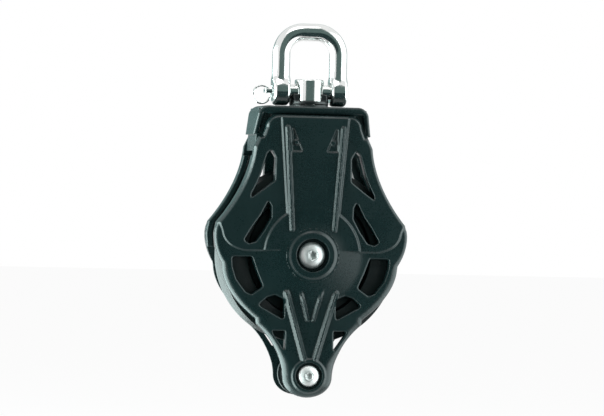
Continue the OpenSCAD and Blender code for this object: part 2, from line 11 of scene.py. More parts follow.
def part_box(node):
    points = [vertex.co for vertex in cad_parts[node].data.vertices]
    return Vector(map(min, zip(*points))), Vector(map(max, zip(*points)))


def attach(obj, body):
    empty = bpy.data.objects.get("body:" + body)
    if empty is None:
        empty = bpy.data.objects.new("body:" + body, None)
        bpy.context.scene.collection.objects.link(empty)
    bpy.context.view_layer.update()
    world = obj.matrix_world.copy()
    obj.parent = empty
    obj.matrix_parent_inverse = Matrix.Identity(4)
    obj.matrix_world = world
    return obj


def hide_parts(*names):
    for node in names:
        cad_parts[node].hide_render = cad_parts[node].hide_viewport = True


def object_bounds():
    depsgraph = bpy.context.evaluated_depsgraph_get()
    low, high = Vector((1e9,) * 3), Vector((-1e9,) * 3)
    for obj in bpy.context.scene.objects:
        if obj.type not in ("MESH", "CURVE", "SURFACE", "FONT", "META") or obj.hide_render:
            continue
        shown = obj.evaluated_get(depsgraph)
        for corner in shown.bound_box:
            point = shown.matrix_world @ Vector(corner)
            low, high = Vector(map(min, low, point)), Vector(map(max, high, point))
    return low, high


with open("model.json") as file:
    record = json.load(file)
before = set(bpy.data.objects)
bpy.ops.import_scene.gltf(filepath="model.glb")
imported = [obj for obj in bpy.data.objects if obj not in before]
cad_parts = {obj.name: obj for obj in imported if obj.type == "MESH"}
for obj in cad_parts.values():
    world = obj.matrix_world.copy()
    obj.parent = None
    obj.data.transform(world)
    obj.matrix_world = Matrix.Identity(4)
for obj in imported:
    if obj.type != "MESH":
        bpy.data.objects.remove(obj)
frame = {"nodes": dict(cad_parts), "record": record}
cad_low, cad_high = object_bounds()

MM = 0.001
SLOTS = {entry["node"]: entry["material_slot"] for entry in frame["record"]["subparts"]}


def box_mm(node):
    """A node's lowest and highest corners in millimetres."""
    low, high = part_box(node)
    return [v / MM for v in low], [v / MM for v in high]


# Places and sizes in millimetres, read from the solids
SHEAVE_LOW, SHEAVE_HIGH = box_mm("sheave")
ROLLER_LOW, ROLLER_HIGH = box_mm("becket_roller")
CHEEK_LOW, CHEEK_HIGH = box_mm("rear_cheek")
HEAD_LOW, HEAD_HIGH = box_mm("head_yoke")
PIN_LOW, PIN_HIGH = box_mm("shackle_pin")
WIRE_LOW, WIRE_HIGH = box_mm("split_ring")
POST_LOW, POST_HIGH = box_mm("swivel_post")
COLLAR_LOW, COLLAR_HIGH = box_mm("swivel_collar")
LOCK_LOW, LOCK_HIGH = box_mm("nut_lock_pin")
BOW_HIGH = box_mm("shackle_bow")[1]
HUB_SCREW_HIGH = box_mm("centre_screw")[1]
BECKET_SCREW_HIGH = box_mm("becket_screw")[1]

AXLE_Z = (SHEAVE_LOW[2] + SHEAVE_HIGH[2]) / 2
BECKET_Z = (ROLLER_LOW[2] + ROLLER_HIGH[2]) / 2
PIN_Z = (PIN_LOW[2] + PIN_HIGH[2]) / 2
LOCK_Z = (LOCK_LOW[2] + LOCK_HIGH[2]) / 2
BECKET_DROP = AXLE_Z - BECKET_Z

# The view of the photograph
VIEW_TURN = -12.0
VIEW_RISE = 0.3
VIEW_LEAN = 1.4
VIEW_LENS = 200.0
SENSOR = 36.0
PIXELS_WIDE = 604
PIXELS_HIGH = 416
PIXELS_PER_MM = 2.8
HUB_PIXEL_X = 305.0
HUB_PIXEL_Y = 254.5

# The length of a sculpted face's side in millimetres
CHEEK_VOXEL = 0.36
HEAD_VOXEL = 0.3
FITTING_VOXEL = 0.22
PIN_VOXEL = 0.16

# How a sculpted surface is drawn onto its shape
REFINE_STEPS = 3
SLOPE_STEP = 0.02
LEAST_SLOPE = 0.2

# Further away than anything in the scene
FAR = 1e9


def smooth_step(t):
    """From zero to one while t goes from zero to one, with no kink at the ends."""
    t = np.clip(t, 0, 1)
    return t * t * (3 - 2 * t)


def soft_max(a, b, k):
    """The larger of a and b, with the corner between them rounded over about k."""
    h = np.clip(0.5 + 0.5 * (a - b) / k, 0, 1)
    return b + (a - b) * h + k * h * (1 - h)


def soft_min(a, b, k):
    """The smaller of a and b, with the corner between them filled over about k."""
    return -soft_max(-a, -b, k)


def round_edge(a, b, r):
    """The part inside both a and b, whose shared edge has radius r."""
    a, b = a + r, b + r
    return np.hypot(np.maximum(a, 0), np.maximum(b, 0)) + np.minimum(np.maximum(a, b), 0) - r


def to_polygon(x, z, points):
    """Signed distance to a closed outline, below zero inside it."""
    nearest = np.full(np.broadcast(x, z).shape, FAR)
    inside = np.zeros(nearest.shape, bool)
    for (ax, az), (bx, bz) in zip(points, points[1:] + points[:1]):
        ex, ez = bx - ax, bz - az
        wx, wz = x - ax, z - az
        t = np.clip((wx * ex + wz * ez) / (ex * ex + ez * ez), 0, 1)
        nearest = np.minimum(nearest, (wx - ex * t) ** 2 + (wz - ez * t) ** 2)
        inside ^= ((az > z) != (bz > z)) & (x < ex * (z - az) / (ez if ez else 1e-9) + ax)
    return np.where(inside, -1, 1) * np.sqrt(nearest)


def to_line(x, z, a, b):
    """Distance to a straight line from a to b."""
    ex, ez = b[0] - a[0], b[1] - a[1]
    t = np.clip(((x - a[0]) * ex + (z - a[1]) * ez) / (ex * ex + ez * ez), 0, 1)
    return np.hypot(x - a[0] - ex * t, z - a[1] - ez * t)


def bend(p, steps):
    """A cubic curve through four control points, as a list of points."""
    out = []
    for i in range(steps + 1):
        t = i / steps
        weights = ((1 - t) ** 3, 3 * (1 - t) ** 2 * t, 3 * (1 - t) * t * t, t ** 3)
        out.append(tuple(sum(w * q[c] for w, q in zip(weights, p)) for c in (0, 1)))
    return out


def arc(r, start, end, steps, centre):
    """Points along part of a circle, from one angle to another in degrees."""
    turns = (math.radians(start + (end - start) * i / steps) for i in range(steps + 1))
    return [(centre[0] + r * math.cos(a), centre[1] + r * math.sin(a)) for a in turns]


def both_halves(right):
    """A closed outline from its right half, which starts and ends on the centre line."""
    return right + [(-x, z) for x, z in reversed(right[1:-1])]


def eased(points, r, steps=4):
    """The same closed outline with each clear corner turned into an arc of about radius r."""
    nearly_straight = math.radians(84)
    most_of_side = 0.45
    out = []
    for i, here in enumerate(points):
        p, before, after = Vector(here), Vector(points[i - 1]), Vector(points[(i + 1) % len(points)])
        a, b = (before - p).normalized(), (after - p).normalized()
        half = math.acos(max(-1, min(1, a.dot(b)))) / 2
        if half > nearly_straight:
            out.append(tuple(here))
            continue
        sides = min((before - p).length, (after - p).length)
        reach = min(r / math.tan(half), most_of_side * sides)
        first, last = p + a * reach, p + b * reach
        for j in range(steps + 1):
            t = j / steps
            out.append(tuple((1 - t) ** 2 * first + 2 * t * (1 - t) * p + t * t * last))
    return out


def slope_of(field, points):
    """A field's value and its slope at each point."""
    x, y, z = points.T
    slope = np.stack([
        field(x + SLOPE_STEP, y, z) - field(x - SLOPE_STEP, y, z),
        field(x, y + SLOPE_STEP, z) - field(x, y - SLOPE_STEP, z),
        field(x, y, z + SLOPE_STEP) - field(x, y, z - SLOPE_STEP),
    ], axis=1) / (2 * SLOPE_STEP)
    return field(x, y, z), slope


def sculpt(field, low, high, voxel):
    """Points, faces and normals of the surface where field(x, y, z) is zero, in millimetres."""
    axes = [np.arange(lo - 2 * voxel, hi + 3 * voxel, voxel) for lo, hi in zip(low, high)]
    x, y, z = axes[0][:, None, None], axes[1][None, :, None], axes[2][None, None, :]
    values = np.broadcast_to(field(x, y, z), [len(a) for a in axes])
    depth = 3 * voxel
    grid = openvdb.FloatGrid(depth)
    grid.copyFromArray(np.ascontiguousarray(np.clip(values, -depth, depth), dtype=np.float32))
    points, quads = grid.convertToQuads(isovalue=0.0)
    points = points.astype(float) * voxel + np.array([a[0] for a in axes])
    furthest = 0.5 * voxel
    for _ in range(REFINE_STEPS):
        value, slope = slope_of(field, points)
        length = np.maximum(np.linalg.norm(slope, axis=1), LEAST_SLOPE)
        move = -(value / length)[:, None] * slope / length[:, None]
        points += move * (furthest / np.maximum(np.linalg.norm(move, axis=1), furthest))[:, None]
    _, slope = slope_of(field, points)
    return points, quads, slope / np.maximum(np.linalg.norm(slope, axis=1), 1e-6)[:, None]


def mesh_object(name, points, faces, normals=None):
    """A smooth-shaded object from points in millimetres."""
    mesh = bpy.data.meshes.new(name)
    mesh.from_pydata((np.asarray(points) * MM).tolist(), [], [list(map(int, f)) for f in faces])
    mesh.polygons.foreach_set("use_smooth", [True] * len(mesh.polygons))
    mesh.update()
    if normals is not None:
        mesh.normals_split_custom_set_from_vertices(np.asarray(normals).tolist())
    piece = bpy.data.objects.new(name, mesh)
    bpy.context.scene.collection.objects.link(piece)
    return piece


def stands_for(piece, body, node):
    """The piece rides on a body and takes a solid's place, and that solid is hidden."""
    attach(piece, body)
    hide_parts(node)
    return piece


def sculpted(name, field, node, body, voxel):
    """A sculpted piece that fills a solid's box and stands for that solid."""
    low, high = box_mm(node)
    points, quads, normals = sculpt(field, low, high, voxel * (1))
    return stands_for(mesh_object(name, points, quads, normals), body, node)


def spun(name, rings, node, body, at_z, hexagons=(), closed=False, steps=96):
    """A turned piece along Y. A ring is (radius, y), and the rings in hexagons have six flat sides."""
    sharp = math.radians(32)
    weld = 1e-7
    sixth = math.pi / 3
    points, faces = [], []
    for j, (r, y) in enumerate(rings):
        for i in range(steps):
            a = 2 * math.pi * i / steps
            reach = r / math.cos((a + sixth / 2) % sixth - sixth / 2) if j in hexagons else r
            points.append((reach * math.cos(a), y, at_z + reach * math.sin(a)))
    last = len(rings) if closed else len(rings) - 1
    for j in range(last):
        k = (j + 1) % len(rings)
        for i in range(steps):
            n = (i + 1) % steps
            faces.append((j * steps + i, j * steps + n, k * steps + n, k * steps + i))
    if not closed:
        faces.append(list(range(steps)))
        faces.append([(len(rings) - 1) * steps + i for i in range(steps)])
    piece = mesh_object(name, points, faces)
    bm = bmesh.new()
    bm.from_mesh(piece.data)
    bmesh.ops.remove_doubles(bm, verts=bm.verts, dist=weld)
    bmesh.ops.recalc_face_normals(bm, faces=bm.faces)
    for edge in bm.edges:
        edge.smooth = edge.calc_face_angle(0) < sharp
    bm.to_mesh(piece.data)
    bm.free()
    return stands_for(piece, body, node)


# The cheek, drawn as X and height over the axle. NECK is its part under the head, SHOULDER its
# widest place, GUARD the round edge beside the sheave, FOOT where that ends, EYE the becket's end.
SKIRT_H = 10.4
CHEEK_TOP = CHEEK_HIGH[2] - AXLE_Z
SKIRT_END = HEAD_HIGH[2] - SKIRT_H - AXLE_Z
NECK_HALF = 17.4
NECK_CORNER = 4.4
SHOULDER_HALF = 35.1
SHOULDER_Z = 6.5
SHOULDER_FOOT = 0.8
GUARD_R = 31.9
FOOT_HALF = 20.6
FOOT_DROP = 21.9
HUB_R = 18.2
HUB_TOP_R = 8.5
WEB_HALF = 13.6
BAND = 4.8
TONGUE_HALF = 9.4
EYE_R = 9.2
EYE_DROP = BECKET_Z - CHEEK_LOW[2]
LIP_IN = 2.0
LIP_W = 2.2
LIP_OVERLAP = 0.8

# Holes in the cheek
RECESS_R = 5.9
BECKET_RECESS_R = 4.8
AXLE_BORE = 3.53
BECKET_BORE = 2.73

# How far each level of the cheek stands from the block's middle
CHEEK_IN = CHEEK_LOW[1] + LIP_IN
HUB_FACE = CHEEK_HIGH[1]
RING_FACE = CHEEK_IN + 2.8
SHOULDER_FACE = CHEEK_IN + 3.7
WEB_FACE = SHOULDER_FACE + 0.8
RIB_FACE = SHOULDER_FACE + 1.7
DISC_FACE = HUB_FACE - 0.7
BECKET_FACE = RING_FACE + 0.8
RECESS_FLOOR = HUB_FACE - 3.0
BECKET_FLOOR = BECKET_FACE - 1.6

# The web between the two long ribs narrows upwards and fades out above the hub
WEB_TOP_IN = 1.2
WEB_SIDE_IN = 1.4
WEB_TAPER = 0.0815
WEB_FADE_FROM = 8
WEB_FADE = 5

# Each rib's ends, the width of its foot and the width of its slopes
LONG_RIB = ((WEB_HALF - 3.5, CHEEK_TOP - 4.6), (0.42 * HUB_R, 0.5 * HUB_R), 4.4, 1.9)
TONGUE_RIB = ((0.49 * HUB_R, -0.74 * HUB_R), (0.22 * EYE_R, 5.8 - BECKET_DROP), 2.6, 1.1)
INNER_RIB = ((0.22 * HUB_R, -0.66 * HUB_R), (0.06 * HUB_R, -1.26 * HUB_R), 1.7, 0.8)
TONGUE_RIB_H = 1.1
INNER_RIB_SHARE = 0.8
TONGUE_RIB_FROM = 12
TONGUE_RIB_FADE = 5

# The sunk triangle beside each long rib's top, and the stud in it
POCKET = [(4.4, 36.6), (8.3, 36.6), (8.3, 45.8)]
POCKET_CORNER = 0.5
POCKET_DEPTH = 0.6
STUD_X = 6.7
STUD_H = 39.8
STUD_R = 0.9

# Rounding of the cheek's edges. It grows downwards from a height, over a length.
EDGE_SOFT = 1.6
LOWER_EDGE_SOFT = 1.4
LOWER_SOFT_FROM, LOWER_SOFT_FADE = 2, 8
EYE_EDGE_SOFT = 1.5
EYE_SOFT_FROM, EYE_SOFT_FADE = 9 - BECKET_DROP, 6
WINDOW_SOFT = 0.8
LIP_SOFT = 0.5
RECESS_SOFT = 0.25

# Curves of the cheek's right edge, from the head down, with four control points each
FLANK_CURVE = [
    (NECK_HALF + 4.1, CHEEK_TOP - 11.4), (NECK_HALF + 4.7, CHEEK_TOP - 19.6),
    (SHOULDER_HALF - 8.7, SHOULDER_Z + 13.7), (SHOULDER_HALF - 1.1, SHOULDER_Z + 4.6),
]
TURN_IN_CURVE = [
    (SHOULDER_HALF - 0.9, SHOULDER_Z + 3.8), (SHOULDER_HALF + 0.8, SHOULDER_Z + 0.5),
    (SHOULDER_HALF - 0.6, SHOULDER_Z - 5.6), (GUARD_R, SHOULDER_Z - 10),
]
GUARD_CURVE = [
    (GUARD_R - 0.1, SHOULDER_Z - 11), (GUARD_R - 0.4, -FOOT_DROP / 2),
    (FOOT_HALF + 5.9, 4.7 - FOOT_DROP), (FOOT_HALF, -FOOT_DROP),
]
STRUT_CURVE = [
    (FOOT_HALF - 1.5, -FOOT_DROP - 2.8), (FOOT_HALF - 6.6, -FOOT_DROP - 7),
    (EYE_R + 0.6, 7.8 - BECKET_DROP), (EYE_R, -BECKET_DROP),
]
EYE_CURVE = [
    (EYE_R, -BECKET_DROP - 0.4), (EYE_R, -BECKET_DROP - 0.6 * EYE_DROP),
    (0.57 * EYE_R, -BECKET_DROP - EYE_DROP), (0, -BECKET_DROP - EYE_DROP),
]

# The lower corner of the raised face over the axle
SHOULDER_CORNER_CURVE = [
    (SHOULDER_HALF - 2.3, SHOULDER_Z + 1.6), (SHOULDER_HALF - 2.8, SHOULDER_Z - 2.7),
    (SHOULDER_HALF - 6.4, 1.4), (SHOULDER_HALF - 11.4, SHOULDER_FOOT),
]


def upper_half():
    """The right edge from the top's middle to the shoulder."""
    corner = arc(NECK_CORNER, 90, 0, 8, (NECK_HALF - NECK_CORNER, CHEEK_TOP - NECK_CORNER))
    step = [(NECK_HALF + 1.1, SKIRT_END - 0.3), (NECK_HALF + 2.4, SKIRT_END - 0.6)]
    return [(0, CHEEK_TOP)] + corner + step + bend(FLANK_CURVE, 14)


def shoulder_outline():
    """The raised face above the axle, with a curved lower corner at each side."""
    return both_halves(upper_half() + bend(SHOULDER_CORNER_CURVE, 10) + [(0, SHOULDER_FOOT)])


def cheek_outline():
    """The cheek's whole edge."""
    foot = bend(GUARD_CURVE, 12) + [(FOOT_HALF - 1.2, -FOOT_DROP - 1)] + bend(STRUT_CURVE, 12)
    return both_halves(upper_half() + bend(TURN_IN_CURVE, 8) + foot + bend(EYE_CURVE, 12))


def window_outlines():
    """The openings on the right side of a cheek, from the head down."""
    ring_edge = GUARD_R - BAND + 1.3
    hub_edge = HUB_R + 1.4
    slot_top = -FOOT_DROP - 5
    beside_flank = [(x - BAND, z) for x, z in bend(FLANK_CURVE, 8)[3:6]]
    upper = [
        (WEB_HALF + 0.2, CHEEK_TOP - 15.2), (WEB_HALF + 1.8, CHEEK_TOP - 12.5),
        (WEB_HALF + 3.2, CHEEK_TOP - 13.9), *beside_flank,
        (WEB_HALF + 8.7, SHOULDER_Z + 13.5), (WEB_HALF + 4.6, SHOULDER_Z + 16.4),
        (WEB_HALF + 0.3, SHOULDER_Z + 19.7),
    ]
    crescent = [
        (WEB_HALF + 1.3, 0.72 * HUB_R), (WEB_HALF + 3.8, 0.47 * HUB_R), (WEB_HALF + 6.6, 0.25 * HUB_R),
        (WEB_HALF + 9, 0.21 * HUB_R), (WEB_HALF + 10.8, 0.27 * HUB_R), (WEB_HALF + 8, 0.53 * HUB_R),
        (WEB_HALF + 5, 0.76 * HUB_R), (WEB_HALF + 2.4, 1.04 * HUB_R), (WEB_HALF + 1.4, 0.93 * HUB_R),
    ]
    ring = [
        (hub_edge + 1.8, -0.9), (ring_edge, -1), (ring_edge - 0.2, -4.4), (ring_edge - 1.6, -8.8),
        (ring_edge - 5, -13.2), (hub_edge + 1.6, -14.2), (hub_edge - 2.4, -11.4), (hub_edge, -5.9),
    ]
    corner = [
        (TONGUE_HALF, 2.4 - HUB_R), (TONGUE_HALF + 3.3, 3.9 - HUB_R), (TONGUE_HALF + 6, 3.1 - HUB_R),
        (TONGUE_HALF + 9.2, 0.3 - HUB_R), (TONGUE_HALF, -FOOT_DROP - 1),
    ]
    slot = [
        (EYE_R - 0.4, slot_top), (EYE_R + 4.3, slot_top),
        (EYE_R + 3.2, slot_top - 2), (EYE_R - 0.4, slot_top - 7.2),
    ]
    radii = ((upper, 0.9), (crescent, 0.8), (ring, 0.9), (corner, 0.8), (slot, 0.5))
    return [eased(points, r) for points, r in radii]


def lip_outline():
    """The lip inside the right flank."""
    end = [(SHOULDER_HALF - 0.3, SHOULDER_Z + 0.6), (SHOULDER_HALF - 0.8, SHOULDER_Z - 4.5)]
    edge = bend(FLANK_CURVE, 8)[1:] + end
    return edge + [(x - LIP_W, z) for x, z in reversed(edge)]


CHEEK_OUTLINE = cheek_outline()
SHOULDER_OUTLINE = shoulder_outline()
WINDOWS = window_outlines()
LIP = lip_outline()
POCKET_OUTLINE = eased(POCKET, POCKET_CORNER)


def inside_edge(away, ramp):
    """One inside an edge and zero outside it, with a ramp of the given width centred on the edge."""
    return smooth_step(0.5 - away / ramp)


def rib_height(side, h, rib):
    """One along a rib's top and zero beyond its foot, with flat slopes between."""
    a, b, width, slope = rib
    return np.clip((width / 2 - to_line(side, h, a, b)) / slope, 0, 1)


def add_shoulder(face, x, h):
    """The raised face above the axle."""
    inset, ramp = 0.4, 1.2
    shoulder = inside_edge(to_polygon(x, h, SHOULDER_OUTLINE) + inset, ramp)
    return face + (SHOULDER_FACE - RING_FACE) * shoulder


def add_web(face, x, h):
    """The web, its two long ribs, and the sunk triangle beside each rib's top."""
    web_ramp, pocket_ramp, stud_ramp, rib_soft = 1.0, 0.9, 0.8, 0.3
    side = np.abs(x)
    web_half = WEB_HALF - WEB_SIDE_IN - (CHEEK_TOP - WEB_TOP_IN - h) * WEB_TAPER
    web = inside_edge(side - web_half, web_ramp) * smooth_step((h - WEB_FADE_FROM) / WEB_FADE)
    face = face + (WEB_FACE - SHOULDER_FACE) * web
    rib = RING_FACE + (RIB_FACE - RING_FACE) * rib_height(side, h, LONG_RIB)
    face = soft_max(face, rib, rib_soft)
    pocket = inside_edge(to_polygon(side, h, POCKET_OUTLINE), pocket_ramp)
    stud = inside_edge(np.hypot(side - STUD_X, h - STUD_H) - STUD_R, stud_ramp)
    return face - POCKET_DEPTH * pocket * (1 - stud)


def add_hub(face, radius, h):
    """A half disc above the axle, the hub's cone and the raised ring round the screw."""
    disc_inset, disc_ramp, disc_soft = 0.5, 2.0, 0.3
    cut_from, cut_ramp = 1.0, 0.8
    cone_foot, cone_soft = 0.3, 0.4
    ring_w, ring_ramp, ring_soft = 2.4, 1.6, 0.15
    disc = inside_edge(radius - HUB_R + disc_inset, disc_ramp) * smooth_step((h - cut_from) / cut_ramp)
    face = soft_max(face, RING_FACE + (WEB_FACE - RING_FACE) * disc, disc_soft)
    cone_h = DISC_FACE - RING_FACE - cone_foot
    cone = DISC_FACE - cone_h * (radius - HUB_TOP_R) / (HUB_R - HUB_TOP_R)
    face = soft_max(face, np.minimum(cone, DISC_FACE), cone_soft)
    ring = DISC_FACE + (HUB_FACE - DISC_FACE) * inside_edge(radius - RECESS_R - ring_w, ring_ramp)
    out_of_sight = 2 * (radius > HUB_TOP_R + 1)
    return soft_max(face, ring - out_of_sight, ring_soft)


def add_tongue(face, side, h, radius, drop):
    """The ribs under the hub and the raised eye of the becket."""
    eye_w, eye_ramp, eye_soft = 1.4, 1.2, 0.25
    rib = np.maximum(rib_height(side, h, TONGUE_RIB), INNER_RIB_SHARE * rib_height(side, h, INNER_RIB))
    face = face + TONGUE_RIB_H * rib * smooth_step((radius - TONGUE_RIB_FROM) / TONGUE_RIB_FADE)
    eye = inside_edge(drop - BECKET_RECESS_R - eye_w, eye_ramp)
    return soft_max(face, RING_FACE + (BECKET_FACE - RING_FACE) * eye, eye_soft)


def cheek_face(x, h, radius, drop):
    """How far a cheek's outer face stands from the block's middle plane."""
    face = add_shoulder(RING_FACE, x, h)
    face = add_web(face, x, h)
    face = add_hub(face, radius, h)
    return add_tongue(face, np.abs(x), h, radius, drop)


def cheek_field(x, d, z):
    """Below zero inside a cheek. d is the distance from the block's middle plane."""
    h = z - AXLE_Z
    radius = np.hypot(x, h)
    drop = np.hypot(x, h + BECKET_DROP)
    opening = np.full(np.broadcast(x, h).shape, FAR)
    for points in WINDOWS:
        opening = np.minimum(opening, to_polygon(np.abs(x), h, points))
    below_axle = smooth_step((LOWER_SOFT_FROM - h) / LOWER_SOFT_FADE)
    near_eye = smooth_step((EYE_SOFT_FROM - h) / EYE_SOFT_FADE)
    softness = EDGE_SOFT + LOWER_EDGE_SOFT * below_axle + EYE_EDGE_SOFT * near_eye
    face = cheek_face(x, h, radius, drop)
    body = soft_max(d - face, to_polygon(x, h, CHEEK_OUTLINE), softness)
    body = soft_max(body, -opening, WINDOW_SOFT)
    body = np.maximum(body, CHEEK_IN - d)
    lip_depth = np.maximum(CHEEK_IN - LIP_IN - d, d - CHEEK_IN - LIP_OVERLAP)
    body = np.minimum(body, soft_max(to_polygon(np.abs(x), h, LIP), lip_depth, LIP_SOFT))
    body = soft_max(body, -np.maximum(radius - RECESS_R, RECESS_FLOOR - d), RECESS_SOFT)
    body = np.maximum(body, AXLE_BORE - radius)
    body = soft_max(body, -np.maximum(drop - BECKET_RECESS_R, BECKET_FLOOR - d), RECESS_SOFT)
    return np.maximum(body, BECKET_BORE - drop)


def make_cheeks():
    """Both cheeks, which mirror each other."""
    voxel = CHEEK_VOXEL
    points, quads, normals = sculpt(cheek_field, CHEEK_LOW, CHEEK_HIGH, voxel)
    mirror = np.array([1, -1, 1])
    front = mesh_object("moulded_front_cheek", points * mirror, quads[:, ::-1], normals * mirror)
    rear = mesh_object("moulded_rear_cheek", points, quads, normals)
    return [stands_for(front, "block", "front_cheek"), stands_for(rear, "block", "rear_cheek")]


# The head: a cap with a core between the cheeks, and at each end a skirt that flares and tapers
CAP_T = 2.9
SKIRT_T = 2.1
FLARE = 1.9
FOOT_DEPTH = 7.7
CORE_HALF = 15.5
CORE_H = 6.4
CORE_PLAY = 0.15
HEAD_CORNER = 3.2
LEG_OUT = NECK_HALF + 3.4
NUT_POCKET_R = 7.5
NUT_POCKET_H = 4.4
NECK_BORE = 4.58

# Rounding of the head's edges
CAP_SOFT = 1.3
SKIRT_SOFT = 0.8
SKIRT_INNER_SOFT = 0.7
CORE_EDGE_R = 0.5
LEG_EDGE_R = 0.4


def head_field(x, y, z):
    """The cap with its skirts, the core between the cheeks and a leg under each skirt."""
    side = np.abs(x)
    deep = np.abs(y)
    down = HEAD_HIGH[2] - z
    half = HEAD_HIGH[0] - FLARE * (1 - down / SKIRT_H)
    taper = np.clip((down - CAP_T) / (SKIRT_H - CAP_T), 0, 1)
    depth = HEAD_HIGH[1] - (HEAD_HIGH[1] - FOOT_DEPTH) * taper
    shell = np.maximum(round_edge(side - half, -down, HEAD_CORNER), down - SKIRT_H)
    inside = soft_max(side - half + SKIRT_T, CAP_T - down, SKIRT_INNER_SOFT)
    saddle = soft_max(soft_max(shell, -inside, SKIRT_SOFT), deep - depth, CAP_SOFT)
    core = round_edge(side - CORE_HALF, deep - CHEEK_IN + CORE_PLAY, CORE_EDGE_R)
    core = np.maximum(core, np.maximum(1 - down, down - CAP_T - CORE_H))
    leg = to_polygon(side, z, [
        (CORE_HALF - 2, HEAD_HIGH[2] - 1), (CORE_HALF - 2, HEAD_HIGH[2] - CAP_T - CORE_H),
        (CORE_HALF + 1.6, HEAD_LOW[2]), (LEG_OUT, HEAD_LOW[2]), (LEG_OUT - 1.2, HEAD_HIGH[2] - 1),
    ])
    leg = round_edge(leg, deep - FOOT_DEPTH + CORE_PLAY, LEG_EDGE_R)
    radius = np.hypot(x, y)
    body = np.maximum(np.minimum(np.minimum(saddle, core), leg), NECK_BORE - radius)
    return np.maximum(body, -np.maximum(radius - NUT_POCKET_R, NUT_POCKET_H - down))


# The shackle's bow and pin
BAR_R = BOW_HIGH[2] / 2
BEND_R = 8.0
LEG_X = BOW_HIGH[0] - BAR_R
EAR_R = BOW_HIGH[1]
EAR_HALF = 2.95
EAR_OUT = LEG_X + EAR_HALF
PIN_R = 2.5
PIN_BORE = 2.53
PIN_HEAD_R = PIN_HIGH[2] - PIN_Z
PIN_HEAD_T = 1.0
PIN_HEAD_PLAY = 0.15
LEG_PAST_PIN = 1
TAIL_HALF_T = 0.8
TAIL_THINNER = 0.6
TAIL_JOIN = 0.4
TAIL_EDGE_R = 0.5
TAIL_SOFT = 0.2
HOLE_X = EAR_OUT + 1.29
HOLE_R = 1.1
HOLE_SOFT = 0.15
EAR_EDGE_R = 1.3
EAR_BLEND = 1.6
HEAD_EDGE_R = 0.25

# The split ring, whose wire passes through the hole in the pin's tail
WIRE_X = (WIRE_LOW[0] + WIRE_HIGH[0]) / 2
WIRE_Z = (WIRE_LOW[2] + WIRE_HIGH[2]) / 2
WIRE_T = WIRE_HIGH[1] - WIRE_LOW[1]
COIL_R = (WIRE_HIGH[0] - WIRE_LOW[0] - WIRE_T) / 2

# The swivel's post and collar
NECK_R = 3.5
NECK_OVERLAP = 0.4
FLANGE_T = 1.2
FLANGE_EDGE_R = 0.25
LUG_BLEND = 0.5
LUG_HALF = 3.6
LUG_EDGE_R = 0.4
LUG_PLAY = 0.15
PIN_IN_POST_PLAY = 0.05
PIN_IN_COLLAR_PLAY = 0.3
CRADLE_EDGE_SOFT = 0.2
PIN_HOLE_EDGE_SOFT = 0.3
POST_EDGE_R = 0.6
LOCK_BORE = 0.78
COLLAR_BORE = 3.53


def bow_field(x, y, z):
    """A bent round bar with an ear at each end. The pin's head sinks into the right ear."""
    side = np.abs(x)
    crown = BAR_R - BEND_R
    leg = np.where(z < crown, np.hypot(side - LEG_X, y), FAR)
    around = np.hypot(np.maximum(side - (LEG_X - BEND_R), 0), z - crown) - BEND_R
    curve = np.where(z >= crown, np.hypot(around, y), FAR)
    bar = np.maximum(np.minimum(leg, curve) - BAR_R, PIN_Z - LEG_PAST_PIN - z)
    drop = np.hypot(y, z - PIN_Z)
    ear = round_edge(drop - EAR_R, np.abs(side - LEG_X) - EAR_HALF, EAR_EDGE_R)
    sunk = np.maximum(drop - PIN_HEAD_R - PIN_HEAD_PLAY, EAR_OUT - PIN_HEAD_T - PIN_HEAD_PLAY - x)
    return np.maximum(soft_max(soft_min(bar, ear, EAR_BLEND), -sunk, HEAD_EDGE_R), PIN_BORE - drop)


def pin_field(x, y, z):
    """The pin: a low head sunk in the right ear and a flat tail with a hole at the left."""
    away = np.hypot(y, z - PIN_Z)
    shaft = np.maximum(away - PIN_R, np.maximum(-EAR_OUT - x, x - EAR_OUT + TAIL_JOIN))
    head_half = PIN_HEAD_T / 2
    head = round_edge(away - PIN_HEAD_R, np.abs(x - EAR_OUT + head_half) - head_half, HEAD_EDGE_R)
    tail = round_edge(away - PIN_R + TAIL_THINNER, PIN_LOW[0] - x, TAIL_EDGE_R)
    tail = soft_max(tail, np.abs(z - PIN_Z) - TAIL_HALF_T, TAIL_SOFT)
    tail = np.maximum(tail, x + EAR_OUT - TAIL_JOIN)
    hole = HOLE_R - np.hypot(x + HOLE_X, y)
    return np.minimum(np.minimum(shaft, head), soft_max(tail, hole, HOLE_SOFT))


def post_field(x, y, z):
    """The bright barrel over a thinner neck, with holes for the pin and the nut's lock pin."""
    radius = np.hypot(x, y)
    foot = COLLAR_LOW[2] + FLANGE_T
    barrel = np.maximum(round_edge(radius - POST_HIGH[0], z - POST_HIGH[2], POST_EDGE_R), foot - z)
    neck = np.maximum(radius - NECK_R, np.maximum(POST_LOW[2] - z, z - foot - NECK_OVERLAP))
    body = np.minimum(barrel, neck)
    body = soft_max(body, PIN_R + PIN_IN_POST_PLAY - np.hypot(y, z - PIN_Z), PIN_HOLE_EDGE_SOFT)
    return np.maximum(body, LOCK_BORE - np.hypot(x, z - LOCK_Z))


